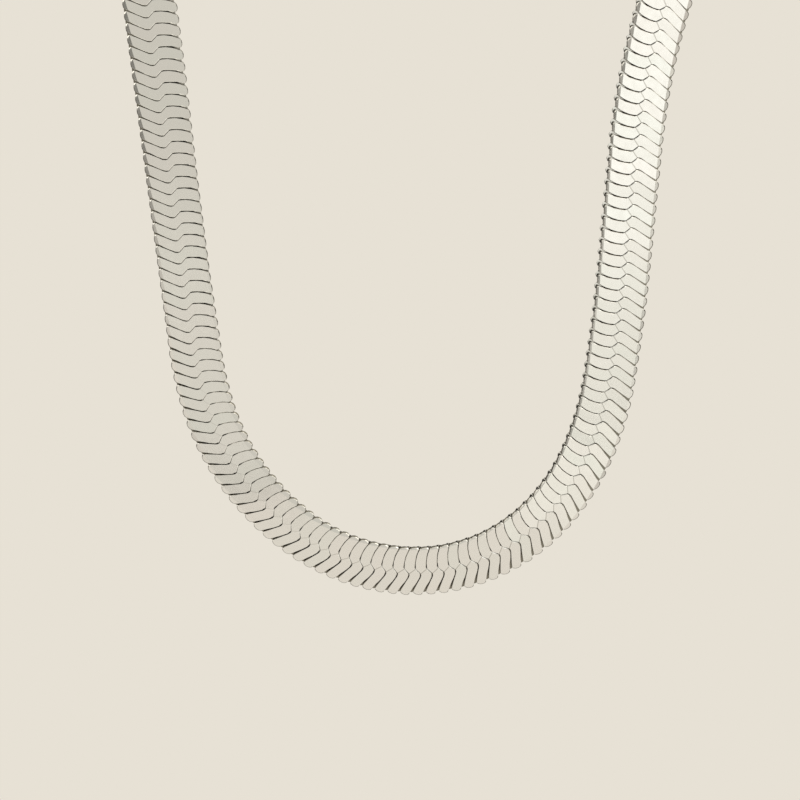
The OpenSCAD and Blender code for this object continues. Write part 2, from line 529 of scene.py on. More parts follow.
    def _half(self, arm: tuple, rise: float, top: np.ndarray) -> np.ndarray:
        """Rows of a whole half: the arm, its straight rise, the arc to the nape and the straight.

        The arc's radius is how far its start lies outside the nape's straight, over the sine of
        its heading.

        Args:
            arm: rows of the arm.
            rise: length of the straight above it.
            top: state at the top of the arm.

        Returns:
            (n, 2) lengths and turns in degrees.
        """
        x, _, h = top
        r = (x - self.nape_straight + rise * math.cos(h)) / math.sin(h)
        turn = math.pi - h
        tail = ((rise, 0), (r * turn, math.degrees(turn)), (self.nape_straight, 0))
        return np.array(tuple(arm) + tail, float)

    def _fold(self, v: np.ndarray) -> tuple[np.ndarray, np.ndarray, np.ndarray]:
        """Carries the distance up the flat loop over the shoulder bend.

        The front rises at the lean, an arc of fold_r turns it back by up to fold_angle, and the
        rest goes on straight.

        Args:
            v: distances up the flat loop.

        Returns:
            y, z and the lean from upright in radians.
        """
        lean0, full = math.radians(self.front_lean), math.radians(self.fold_angle)
        lean = lean0 + np.clip((v - self.fold_v) / self.fold_r, 0, full)
        front = np.minimum(v, self.fold_v)
        back = np.maximum(v - self.fold_v - self.fold_r * full, 0)
        y = front * math.sin(lean0) + self.fold_r * (math.cos(lean0) - np.cos(lean))
        z = front * math.cos(lean0) + self.fold_r * (np.sin(lean) - math.sin(lean0))
        return y + back * np.sin(lean), z + back * np.cos(lean), lean

    def frames(self, s: np.ndarray) -> tuple[np.ndarray, np.ndarray]:
        """Places and directions of the band.

        A place is the flat loop's point carried over the shoulder bend, less the nape's point. The
        face and the inside turn by the roll about the way along the band.

        Args:
            s: distances from the lowest point, positive up the right arm.

        Returns:
            (n, 3) places and (n, 3, 3) directions as rows: along the band, toward the inside of
            the loop, and out of the face.
        """
        origins, axes = np.zeros((len(s), 3)), np.zeros((len(s), 3, 3))
        for side in Side:
            here = (s < 0) == (side is Side.LEFT)
            x, v, h = self._walk(self.halves[side], side, np.abs(s[here]))
            rolls = self.rolls[side]
            roll = np.radians(np.interp(np.abs(s[here]), rolls[:, 0], rolls[:, 1]))[:, None]
            y, z, lean = self._fold(v)
            none = np.zeros_like(x)
            up = np.stack([none, np.sin(lean), np.cos(lean)], axis=1)
            face = np.stack([none, -np.cos(lean), np.sin(lean)], axis=1)
            travel = np.cos(h)[:, None] * [1, 0, 0] + side.value * np.sin(h)[:, None] * up
            outward = np.cross(travel, face)
            origins[here] = np.stack([side.value * x, y, z], axis=1) - self.nape_point
            axes[here, 0] = travel
            axes[here, 1] = face * np.sin(roll) - outward * np.cos(roll)
            axes[here, 2] = face * np.cos(roll) + outward * np.sin(roll)
        return origins, axes


# Links


@dataclass(frozen=True)
class ScalePlan:
    """One scale of a link, seen from the front, in mm and degrees.

    x runs along the band and y toward the inside of the loop. The scale has a flat for each of
    its two rows, a fine crease between them, a sloping facet at each end and a rim all round. Its
    lap side stands a little above the next scale, its tuck side a little below the one before.

    gap_line holds rows of x, y and width along the gap between two scales. inner_open and
    outer_open widen the gap past the heights in open_rows. The lap and tuck values are heights of
    points on those sides, and crease_y is the one where the crease starts on the lap side. A rim
    is its width and its drop, and the rim of an end has such a pair for each point of the end.
    The crease, tip, inner and outer shade values are shares of painted shade, above 1 where the painted
    dark is to spread up the rim.
    """

    pitch: float = PITCH
    inner_end: float = 5.03
    outer_end: float = 5.08
    face_z: float = BAND_T / 2
    under_z: float = 0.15
    gap_line: tuple = (
        (0.36, 4.5, 0.32),
        (-0.02, 3.7, 0.26),
        (-0.22, 3.1, 0.2),
        (-0.46, 1.9, 0.1),
        (-0.53, 0.9, 0.16),
        (-0.44, 0.5, 0.07),
        (0.44, -0.5, 0.07),
        (0.48, -0.85, 0.16),
        (0.36, -1.35, 0.1),
        (-0.2, -2.4, 0.03),
        (-0.78, -3.4, 0.1),
        (-1.35, -4.5, 0.22),
        (-1.6, -5.0, 0.3),
    )
    inner_open: float = 0.0
    outer_open: float = 0.0
    open_rows: tuple = (-1.35, -0.85, 0.5, 0.9)
    crease_y: float = 0.5
    lap_middle: tuple = (3.1, 1.9, 0.9, 0.53, 0.5, 0.4, -0.5, -0.85, -1.35, -2.4, -3.4)
    lap_inner: float = 4.3
    lap_outer: tuple = (-4.0, -4.3)
    tuck_middle: tuple = (3.7, 3.1, 1.9, 0.9, 0.5, -0.47, -0.5, -0.66, -0.9, -1.35, -2.4, -3.4)
    tuck_inner: float = 4.15
    tuck_outer: float = -4.35
    lap_rim: tuple = (0.08, 0.1)
    ridge_rim: tuple = (0.12, 0.04)
    tuck_rim: tuple = (0.06, 0.12)
    inner_rim: tuple = ((0.18, 0.18), (0.16, 0.18), (0.14, 0.17), (0.13, 0.2), (0.12, 0.18))
    outer_rim: tuple = ((0.2, 0.2), (0.2, 0.22), (0.17, 0.14), (0.17, 0.14), (0.16, 0.14))
    row_tilt: float = 1.0
    lap_tilt: float = 1.2
    inner_tilt: float = 25.0
    outer_tilt: float = 25.0
    end_power: float = 0.85
    crease_depth: float = 0.015
    # Shares of painted shade: in the crease, under the inner tip and on the rims of the two ends.
    crease_shade: float = 0.03
    tip_shade: float = 0.6
    inner_shade: tuple = (0.3, 1.0, 2.2, 2.2, 2.2)
    outer_shade: tuple = (1.0, 1.0, 2.2, 2.2, 2.2)

    @property
    def lap_rows(self) -> tuple:
        """Heights of the lap side's points, from the inner facet line to the outer end."""
        return (self.lap_inner, *self.lap_middle, *self.lap_outer)

    @property
    def tuck_rows(self) -> tuple:
        """Heights of the tuck side's points, from one facet line to the other."""
        return (self.tuck_inner, *self.tuck_middle, self.tuck_outer)

    def gap_side(self, y: np.ndarray, move: float, way: int) -> np.ndarray:
        """Points on one side of the gap: its middle line moved along and set off by half a gap.

        Args:
            y: (n,) heights.
            move: distance by which the line is moved along the band.
            way: -1 for the side before the gap, 1 for the side after it.

        Returns:
            (n, 2) points.
        """
        table = np.array(self.gap_line)[::-1]
        x, gap = (np.interp(y, table[:, 1], table[:, k]) for k in (0, 2))
        gap += np.interp(y, self.open_rows, (self.outer_open, 0.0, 0.0, self.inner_open))
        return np.stack([x + move + way * gap / 2, y], axis=1)

    def _end(self, a: np.ndarray, b: np.ndarray) -> np.ndarray:
        """Points of a rounded end between two corners.

        At the angle t they lie at the middle of a and b, less cos t times half of b - a, and
        toward the edge of the band by the reach of the end times sin t to the end_power.

        Args:
            a: first corner.
            b: second corner.

        Returns:
            (END_POINTS, 2) points from a to b, without the corners.
        """
        t = np.linspace(0, math.pi, END_POINTS + 2)[1:-1]
        side = math.copysign(1.0, a[1])
        reach = (self.inner_end if side > 0 else self.outer_end) - abs(a[1] + b[1]) / 2
        middle = (a + b) / 2 - np.cos(t)[:, None] * (b - a) / 2
        middle[:, 1] += side * reach * np.sin(t) ** self.end_power
        return middle

    def outline(self) -> np.ndarray:
        """Corners round the scale, with the inside of the loop up and x to the right.

        The lap side follows the gap line a quarter pitch ahead, and the tuck side the gap line a
        whole pitch before that.

        Returns:
            (n, 2) points: the lap side up, the inner end, the tuck side down and the outer end.
        """
        lap = self.gap_side(np.array(self.lap_rows)[::-1], self.pitch / 4, -1)
        tuck = self.gap_side(np.array(self.tuck_rows), -3 * self.pitch / 4, 1)
        inner, outer = self._end(lap[-1], tuck[0]), self._end(tuck[-1], lap[0])
        return np.concatenate([lap, inner, tuck, outer])

    def _numbers(self) -> dict[str, int]:
        """Corner numbers of the places where the facets and the crease meet the outline.

        Returns:
            The numbers by name, and the number of all corners as size.
        """
        side = len(self.lap_rows)
        tuck = side + END_POINTS
        return {
            "lap_outer": 1,
            "lap_crease": self.lap_rows[::-1].index(self.crease_y),
            "lap_inner": side - 1,
            "tuck_inner": tuck,
            "tuck_crease": tuck + self.tuck_rows.index(-self.crease_y),
            "tuck_outer": tuck + side - 1,
            "size": 2 * tuck,
        }

    def _height(self, p: np.ndarray, ring: np.ndarray) -> np.ndarray:
        """Height of the face at points.

        Each row is a plane that falls from the middle of the band by row_tilt and rises along the
        band by lap_tilt. Past the facet line, which joins two corners of the outline, the height
        falls by the facet's tilt.

        Args:
            p: (n, 2) points.
            ring: (m, 2) ring that holds the ends of the facet lines.

        Returns:
            (n,) heights.
        """
        at = self._numbers()
        z = self.face_z - np.abs(p[:, 1]) * math.tan(math.radians(self.row_tilt))
        z += (p[:, 0] + self.pitch / 4) * math.tan(math.radians(self.lap_tilt))
        inner_facet = ("lap_inner", "tuck_inner", self.inner_tilt)
        outer_facet = ("tuck_outer", "lap_outer", self.outer_tilt)
        for a, b, tilt in (inner_facet, outer_facet):
            start, end = ring[at[a]], ring[at[b]]
            along = (end - start) / np.linalg.norm(end - start)
            past = (p[:, 0] - start[0]) * along[1] - (p[:, 1] - start[1]) * along[0]
            z -= np.maximum(past, 0) * math.tan(math.radians(tilt))
        return z

    def _rims(self) -> np.ndarray:
        """Rim at each corner of the outline, flatter where the lap side crosses the middle.

        Returns:
            (n, 2) widths and drops.
        """
        lap = [self.ridge_rim if abs(y) <= self.crease_y else self.lap_rim for y in self.lap_rows[::-1]]
        tuck = [self.tuck_rim] * len(self.tuck_rows)
        return np.array([*lap, *self.inner_rim, *tuck, *self.outer_rim])

    def _points(self) -> np.ndarray:
        """Three rings of points: the under edge, the foot of the rim and its top.

        The top ring is the outline moved inward by the rim's width, and the foot lies below the
        face by the rim's drop.

        Returns:
            (3 n, 3) points.
        """
        ring, at, rim = self.outline(), self._numbers(), self._rims()
        ahead = np.roll(ring, -1, axis=0) - np.roll(ring, 1, axis=0)
        inward = np.stack([-ahead[:, 1], ahead[:, 0]], axis=1)
        inward /= np.linalg.norm(inward, axis=1)[:, None]
        top = ring + inward * rim[:, :1]
        top_z = self._height(top, top)
        for place in ("lap_crease", "tuck_crease"):
            top_z[at[place]] -= self.crease_depth
        foot_z = self._height(ring, top) - rim[:, 1]
        rings = ((ring, np.full(len(ring), self.under_z)), (ring, foot_z), (top, top_z))
        return np.concatenate([np.column_stack(pair) for pair in rings])

    def _shade_shares(self) -> np.ndarray:
        """Share of painted shade: 1 on the under edge, down in the gaps, and by the shade shares at the
        ends and in the crease.

        Returns:
            A share for each of the points.
        """
        at = self._numbers()
        n, inner_end = at["size"], slice(at["lap_inner"] + 1, at["tuck_inner"])
        # Painted shade: full on the under edge down in the gaps, less under the inner tip, and by the
        # ends' shares on the rims and in the crease.
        under, foot, top = np.ones(n), np.zeros(n), np.zeros(n)
        under[inner_end] = self.tip_shade
        foot[inner_end] = self.inner_shade
        foot[at["tuck_outer"] + 1 :] = self.outer_shade
        top[[at["lap_crease"], at["tuck_crease"]]] = self.crease_shade
        return np.concatenate([under, foot, top])

    def shell(self) -> Shell:
        """The closed scale: an under face, a wall, a rim, the flats, the facets and the crease.

        Returns:
            The shell, with marks u, v (place on the scale), rim (1 at the foot of the rim, where a
            highlight is painted) and the share of painted shade.
        """
        points, at = self._points(), self._numbers()
        n = at["size"]
        number = np.arange(n)
        top = 2 * n + number
        lap, tuck = at["lap_crease"], at["tuck_crease"]
        inner_lap, outer_lap = at["lap_inner"], at["lap_outer"]
        inner_tuck, outer_tuck = at["tuck_inner"], at["tuck_outer"]
        corners = (
            np.r_[lap + 1 : inner_lap + 1, inner_tuck:tuck],
            np.r_[tuck + 1 : outer_tuck + 1, outer_lap:lap],
            np.r_[inner_lap : inner_tuck + 1],
            np.r_[outer_tuck:n, 0 : outer_lap + 1],
        )
        flats = [top[row][None] for row in corners]
        creases = np.array([[lap, lap + 1, tuck - 1, tuck], [lap - 1, lap, tuck, tuck + 1]])
        walls = [ring_strip(0, n, n), ring_strip(n, 2 * n, n)]
        lines = [np.stack([flat[0], np.roll(flat[0], -1)], axis=1) for flat in flats]
        round_lines = np.stack([number, np.roll(number, -1)], axis=1)
        return Shell(
            points=points,
            faces=[number[::-1][None], *walls, top[creases], *flats],
            marks={
                "u": points[:, 0],
                "v": points[:, 1],
                # rim is 1 at the foot of the rim, where a highlight is painted.
                "rim": np.repeat([0.0, 1.0, 0.0], n),
                "recess": self._shade_shares(),
            },
            sharp=np.concatenate([*lines, *(round_lines + level * n for level in range(3))]),
        )


@dataclass(frozen=True)
class Link:
    """Form of the link at one place of the chain, in mm.

    It has a front scale, a back scale half a pitch further on, and a web between them. place is
    the distance from the lowest point, up the right arm. back_inner and back_outer say how far
    the back scale reaches toward the two edges of the band. The web ends at web_end from the
    middle, bends at the share web_kink of that and goes into both scales by web_reach.
    """

    place: float
    front: ScalePlan
    back: ScalePlan
    back_inner: float
    back_outer: float
    web_end: float = 4.1
    web_kink: float = 0.12
    web_reach: float = 0.1

    def shell(self) -> Shell:
        """The link about its own middle.

        Returns:
            The front scale, the web and the back scale (turned over and half a pitch further on).
        """
        plan = replace(self.back, inner_end=self.back_inner, outer_end=self.back_outer)
        back = plan.shell()
        back.points = back.points * [1, 1, -1] + [plan.pitch / 2, 0, 0]
        back.faces = [f[:, ::-1] for f in back.faces]
        return join_shells([self.front.shell(), self._web(), back])

    def _web(self) -> Shell:
        """A slab between the scales, with the gap line moved a quarter pitch each way.

        Returns:
            A closed shell that reaches a little into both scales.
        """
        y = np.array([1.0, self.web_kink, -self.web_kink, -1.0]) * self.web_end
        low = self.front.gap_side(y[::-1], self.front.pitch / 4, -1)
        high = self.front.gap_side(y, -self.front.pitch / 4, 1)
        ring = np.concatenate([low, high])
        n, reach = len(ring), self.front.under_z + self.web_reach
        levels = [np.column_stack([ring, np.full(n, z)]) for z in (-reach, reach)]
        points, number, i = np.concatenate(levels), np.arange(n), np.arange(len(y) - 1)
        quads = np.stack([i, i + 1, n - 2 - i, n - 1 - i], axis=1)
        return Shell(
            points=points,
            faces=[quads[:, ::-1], quads + n, ring_strip(0, n, n)],
            # The web lies down in the gaps and is painted shade all over.
            marks={"recess": np.ones(2 * n), "u": points[:, 0], "v": points[:, 1]},
            sharp=np.stack([number, number + n], axis=1),
        )


# Scales of the left arm, of the turn into the bend, of the bend and of the right arm

LEFT_SCALE = ScalePlan(
    outer_end=4.98,
    outer_open=0.06,
    row_tilt=0.0,
    inner_tilt=4.0,
    lap_outer=(-4.15, -4.45),
    tuck_outer=-4.4,
    end_power=0.75,
    crease_depth=0.0,
    crease_shade=0.0,
    outer_rim=((0.2, 0.2), (0.18, 0.2), (0.16, 0.14), (0.16, 0.14), (0.16, 0.14)),
    outer_shade=(0.3, 0.3, 2.2, 2.2, 2.2),
)
SLIM_SCALE = replace(LEFT_SCALE, inner_end=4.7)
TURN_SCALE = ScalePlan(
    outer_end=5.12,
    outer_open=-0.04,
    inner_tilt=18.0,
    lap_inner=4.15,
    tuck_inner=3.85,
    end_power=1.0,
    crease_depth=0.0,
    crease_shade=0.3,
    inner_rim=((0.18, 0.18), (0.18, 0.18), (0.2, 0.18), (0.2, 0.2), (0.2, 0.2)),
    inner_shade=(0.1, 0.9, 3.0, 3.0, 3.0),
    outer_shade=(1.5, 1.5, 2.5, 2.5, 2.5),
)
BEND_SCALE = ScalePlan(
    outer_end=5.37,
    inner_open=0.05,
    outer_open=-0.06,
    outer_tilt=20.0,
    lap_inner=4.65,
    tuck_inner=4.55,
    lap_outer=(-4.45, -4.8),
    tuck_outer=-4.4,
    crease_shade=0.8,
    inner_rim=((0.18, 0.18), (0.18, 0.18), (0.16, 0.18), (0.16, 0.2), (0.16, 0.2)),
    inner_shade=(0.1, 0.9, 2.5, 2.5, 2.5),
    outer_rim=((0.2, 0.16), (0.2, 0.16), (0.2, 0.14), (0.2, 0.14), (0.2, 0.14)),
    outer_shade=(2.0, 2.5, 3.0, 3.0, 3.0),
)
TOP_SCALE = ScalePlan(
    inner_end=4.95,
    outer_end=5.33,
    lap_outer=(-4.35, -4.7),
    tuck_outer=-4.4,
    crease_shade=0.7,
    tip_shade=0.4,
    inner_rim=((0.14, 0.14), (0.14, 0.14), (0.12, 0.12), (0.12, 0.14), (0.12, 0.14)),
    inner_shade=(0.8, 0.8, 1.0, 1.2, 1.2),
    outer_rim=((0.2, 0.12),) * END_POINTS,
    outer_shade=(2.5, 3.0, 3.5, 3.5, 3.5),
)
RIGHT_SCALE = replace(
    TOP_SCALE,
    inner_end=4.85,
    outer_end=5.31,
    inner_open=0.04,
    outer_tilt=6.0,
    lap_inner=4.45,
    tuck_inner=4.35,
    lap_outer=(-4.55, -4.75),
    tuck_outer=-4.5,
)
LEFT_BACK = ScalePlan()
RIGHT_BACK = ScalePlan(
    lap_inner=3.9,
    tuck_inner=3.8,
    end_power=1.25,
    tip_shade=0.3,
    inner_rim=((0.2, 0.12),) * END_POINTS,
    inner_shade=(0.2, 0.2, 0.4, 0.6, 0.6),
)


@dataclass
class Chain:
    """All the links of the necklace, as the two halves that meet at the lowest point.

    forms are the links at some places from the left end to the right, and the links between them
    are blends. tilt_spread is the usual lean of a link in degrees, and tint_spread how far its
    tint usually is from tint_middle, where 0 is cool and 1 warm silver. Neither goes past
    most_spread times its spread.
    """

    route: Route
    finish: SilverFinish
    forms: tuple = (
        Link(-118.0, LEFT_SCALE, LEFT_BACK, 4.5, 4.85),
        Link(-98.0, SLIM_SCALE, LEFT_BACK, 4.4, 4.85),
        Link(-80.0, SLIM_SCALE, LEFT_BACK, 4.4, 4.85),
        Link(-68.0, LEFT_SCALE, LEFT_BACK, 4.35, 4.8),
        Link(-50.0, replace(TURN_SCALE, inner_tilt=10.0), LEFT_BACK, 4.2, 4.75),
        Link(-25.0, TURN_SCALE, LEFT_BACK, 4.2, 4.75),
        Link(-2.0, BEND_SCALE, RIGHT_BACK, 4.98, 5.0),
        Link(20.0, BEND_SCALE, RIGHT_BACK, 5.08, 5.0),
        Link(60.0, RIGHT_SCALE, RIGHT_BACK, 5.15, 5.12),
        Link(108.0, RIGHT_SCALE, RIGHT_BACK, 5.2, 5.12),
        Link(122.0, TOP_SCALE, RIGHT_BACK, 5.15, 5.12),
    )
    tilt_spread: float = 0.5
    tint_middle: float = 0.5
    tint_spread: float = 0.25
    most_spread: float = 2.0
    seed: int = 11

    def links(self, indices: np.ndarray) -> Shell:
        """Links at their places, each with its own form and a small lean of its own.

        The way out of each link's face leans toward its own x and y by seeded random angles, and
        each link has a seeded random tint.

        Args:
            indices: numbers of the links, from -1 (in the left cap) to link_count (in the right).

        Returns:
            One shell.
        """
        place = self.route.link_place(indices)
        origins, axes = self.route.frames(place)
        shell = self._blend(place)
        table = np.random.default_rng(self.seed).normal(size=(self.route.link_count + 2, 3))
        own = np.clip(table[indices + 1], -self.most_spread, self.most_spread)
        lean = np.radians(self.tilt_spread) * own[:, :2]
        x, y, z = axes[:, 0], axes[:, 1], axes[:, 2]
        z = z + lean[:, :1] * x + lean[:, 1:] * y
        z /= np.linalg.norm(z, axis=1)[:, None]
        x = x - np.sum(x * z, axis=1)[:, None] * z
        x /= np.linalg.norm(x, axis=1)[:, None]
        made = placed(shell, origins, np.stack([x, np.cross(z, x), z], axis=1))
        tint = self.tint_middle + self.tint_spread * own[:, 2]
        made.marks["tint"] = np.repeat(tint, shell.points.shape[-2])
        return made

    def _blend(self, place: np.ndarray) -> Shell:
        """Blends the two forms nearest to each link, in proportion to the distances.

        Args:
            place: (n,) distances of the links.

        Returns:
            A shell with (n, p, 3) points and (n, p) marks.
        """
        keys = [link.place for link in self.forms]
        shells = [link.shell() for link in self.forms]
        shares = np.stack([np.interp(place, keys, row) for row in np.eye(len(keys))], axis=1)
        return Shell(
            points=np.einsum("nk,kpc->npc", shares, np.stack([shell.points for shell in shells])),
            faces=shells[0].faces,
            marks={
                name: shares @ np.stack([shell.marks[name] for shell in shells])
                for name in shells[0].marks
            },
            sharp=shells[0].sharp,
        )

    def build(self) -> list[bpy.types.Object]:
        """Makes both halves, which stand for the solid chain nodes.

        Returns:
            The two objects.
        """
        material = self.finish.material()
        pieces = []
        spans = {
            "chain_left": (0, self.route.low_link),
            "chain_right": (self.route.low_link, self.route.link_count),
        }
        for node, (first, last) in spans.items():
            piece = make_piece(node + "_links", self.links(np.arange(first, last)), material)
            stand_for(piece, node)
            pieces.append(piece)
        return pieces


# End caps and clasp


@dataclass
class EndCap:
    """Soldered cap at one end of the chain, with its own link and an upright eye, in mm.

    The block starts left_block_x or right_block_x from the middle of its own link. Its edges are
    round with the radius corner, in steps at the shares in bow. eye_sunk is how far the eye goes
    into the block, and an eye_power below 1 makes the eye's section squarer.
    """

    chain: Chain
    side: Side
    block_w: float = 10.8
    block_t: float = 2.5
    eye_x: float = 5.35
    eye_d: float = 3.8
    eye_hole: float = 2.2
    eye_sunk: float = 0.5
    eye_w: float = 1.2
    eye_power: float = 0.7
    left_block_x: float = 0.8
    right_block_x: float = 0.1
    corner: float = 0.55
    bow: tuple = (0.0, 0.3, 0.7, 1.0)
    groove_share: float = 0.22
    groove_w: float = 0.36
    groove_depth: float = 0.16
    around: int = 40
    eye_around: int = 40
    eye_section: int = 14

    def _block(self, length: float) -> Shell:
        """The block of the cap, from x = 0 to x = -length.

        Each cross-section is a rectangle with round corners: the point at the angle t is the
        corner's centre, by the signs of cos t and sin t, plus the radius times (cos t, sin t). The
        sections shrink by a quarter circle at both ends and by a shallow groove, whose middle is
        at groove_share of the length.

        Args:
            length: length of the block.

        Returns:
            A closed shell.
        """
        r, bow = self.corner, np.array(self.bow)
        ease = r * (1 - np.sqrt(1 - (1 - bow) ** 2))
        groove = length * self.groove_share + self.groove_w / 2 * np.array([-1, 0, 1])
        x = np.concatenate([r * bow, groove, length - r * bow[::-1]])
        inset = np.concatenate([ease, [0, self.groove_depth, 0], ease[::-1]])
        t = (np.arange(self.around) + 0.5) * 2 * math.pi / self.around
        signs = np.stack([np.sign(np.cos(t)), np.sign(np.sin(t))], axis=1)
        rounds = np.stack([np.cos(t), np.sin(t)], axis=1)
        half = np.array([self.block_w / 2, self.block_t / 2]) - r
        rows = signs[None] * half + rounds[None] * (r - inset)[:, None, None]
        along = np.broadcast_to(-x[:, None, None], (len(x), self.around, 1))
        points = np.concatenate([along, rows], axis=2).reshape(-1, 3)
        n, last = self.around, (len(x) - 1) * self.around
        strips = [ring_strip((i + 1) * n, i * n, n) for i in range(len(x) - 1)]
        number = np.arange(n)
        rim = np.stack([number, np.roll(number, -1)], axis=1)
        return Shell(
            points=points,
            faces=[*strips, number[None], (last + number[::-1])[None]],
            sharp=np.concatenate([rim, rim + last]),
        )

    def _eye(self, reach: float) -> Shell:
        """The upright eye, a ring with its middle at x = -reach and its hole along y.

        Its section is a superellipse, with half the wall and half the eye's width as half axes,
        carried round a circle in the x-z plane. Its points are the half axes times the cosine and
        the sine to the eye_power, with their signs.

        Args:
            reach: distance from the block's front face to the eye's middle.

        Returns:
            A closed shell.
        """
        middle = (self.eye_d + self.eye_hole) / 4
        wall = (self.eye_d - self.eye_hole) / 4
        a = np.arange(self.eye_around)[:, None] * 2 * math.pi / self.eye_around
        b = np.arange(self.eye_section) * 2 * math.pi / self.eye_section
        way = np.stack([np.cos(b), np.sin(b)])
        out, wide = np.sign(way) * np.abs(way) ** self.eye_power
        radius = middle + wall * out
        x, z = radius * np.cos(a) - reach, radius * np.sin(a)
        y = np.broadcast_to(self.eye_w / 2 * wide, x.shape)
        points = np.stack([x, y, z], axis=2).reshape(-1, 3)
        return Shell(points=points, faces=[torus_faces(self.eye_around, self.eye_section)])

    def build(self, finish: SilverFinish) -> bpy.types.Object:
        """Makes the cap with its own link as one piece, which stands for the solid cap.

        Args:
            finish: finish of the fittings.

        Returns:
            The object.
        """
        route = self.chain.route
        right = self.side is Side.RIGHT
        index = np.array([route.link_count if right else -1])
        cap_reach = (route.loop_length - (route.link_count + 1) * route.pitch) / 2 - self.eye_x
        start = self.right_block_x if right else self.left_block_x
        reach = cap_reach - start
        body = join_shells([self._block(reach - self.eye_d / 2 + self.eye_sunk), self._eye(reach)])
        body.points = body.points - [start, 0, 0]
        if right:
            body.points = body.points * [-1, 1, 1]
            body.faces = [f[:, ::-1] for f in body.faces]
        origins, axes = route.frames(route.link_place(index))
        shell = join_shells([placed(body, origins, axes), self.chain.links(index)])
        node = "end_cap_right" if right else "end_cap_left"
        piece = make_piece(node + "_shell", shell, finish.material())
        stand_for(piece, node)
        return piece


@dataclass
class Clasp:
    """Plain closed loop of wire that joins the two eyes at the nape, in mm."""

    route: Route
    length: float = 12.0
    width: float = 5.6
    wire: float = 1.3
    path_points: int = 72
    section: int = 16

    def build(self, finish: SilverFinish) -> bpy.types.Object:
        """Makes the clasp, which stands for the solid clasp.

        The wire's middle follows a stadium: two half circles of radius r, joined by straight
        sides, with their centres on the long axis at half and -half. At each of its points the
        outward direction and up carry a circle of the wire's radius.

        Args:
            finish: finish of the fittings.

        Returns:
            The object.
        """
        r = (self.width - self.wire) / 2
        half = (self.length - self.width) / 2
        t = np.linspace(-math.pi / 2, math.pi / 2, self.path_points // 2)
        arc = np.stack([np.cos(t), np.sin(t)], axis=1)
        outward = np.concatenate([arc, -arc])[:, None]
        centre = np.repeat([[half, 0.0], [-half, 0.0]], len(t), axis=0)[:, None]
        b = np.arange(self.section) * 2 * math.pi / self.section
        flat = centre + outward * (r + self.wire / 2 * np.cos(b))[:, None]
        up = np.broadcast_to(self.wire / 2 * np.sin(b)[:, None], (*flat.shape[:2], 1))
        points = np.concatenate([flat, up], axis=2).reshape(-1, 3)
        faces = torus_faces(self.path_points, self.section)[:, ::-1]
        origins, axes = self.route.frames(np.array([self.route.lengths[Side.RIGHT]]))
        shell = placed(Shell(points=points, faces=[faces]), origins, axes)
        piece = make_piece("clasp_loop", shell, finish.material())
        stand_for(piece, "clasp")
        return piece


# Studio and camera


@dataclass(frozen=True)
class Softbox:
    """A rectangular soft light that points at a target, in metres.

    azimuth is from the front (-Y) toward +X and elevation above the horizon, both in degrees.
    glow is how bright its face looks.
    """

    name: str
    azimuth: float
    elevation: float
    distance: float
    width: float
    height: float
    glow: float
    colour: tuple = (1.0, 0.965, 0.86)

    def build(self, target: Vector) -> None:
        """Makes the light, which the camera itself doesn't see.

        Args:
            target: point that it faces, from the distance in the direction of its two angles.
        """
        light = bpy.data.lights.new(self.name, "AREA")
        light.shape = "RECTANGLE"
        light.size, light.size_y = self.width, self.height
        light.energy = self.glow * self.width * self.height * math.pi
        light.color = self.colour
        obj = scene_object(self.name, light)
        a, e = math.radians(self.azimuth), math.radians(self.elevation)
        way = Vector((math.sin(a) * math.cos(e), -math.cos(a) * math.cos(e), math.sin(e)))
        obj.location = target + way * self.distance
        obj.rotation_euler = way.to_track_quat("Z", "Y").to_euler()
        obj.visible_camera = False


@dataclass(frozen=True)
class PaintedFloorTone:
    """Painted shade or painted light on one stretch of the floor, in metres.

    x and y each hold where the tone starts to show and where it is full, and it stays full past
    that.
    """

    x: tuple
    y: tuple
    colour: tuple

    def lay(
        self, tree: bpy.types.NodeTree, axes: bpy.types.Node, under: bpy.types.NodeSocket | tuple
    ) -> bpy.types.NodeSocket:
        """Lays the tone over a colour, by the product of a smooth step along x and one along y.

        Args:
            tree: node tree of the floor's material.
            axes: node with the place's X and Y.
            under: the colour so far.

        Returns:
            The new colour.
        """
        share = tree.nodes.new("ShaderNodeMath")
        share.operation = "MULTIPLY"
        for number, (axis, ends) in enumerate((("X", self.x), ("Y", self.y))):
            step = map_range(tree, axes.outputs[axis], ends)
            step.interpolation_type = "SMOOTHSTEP"
            tree.links.new(step.outputs["Result"], share.inputs[number])
        return mix_colour(tree, share.outputs[0], under, self.colour)


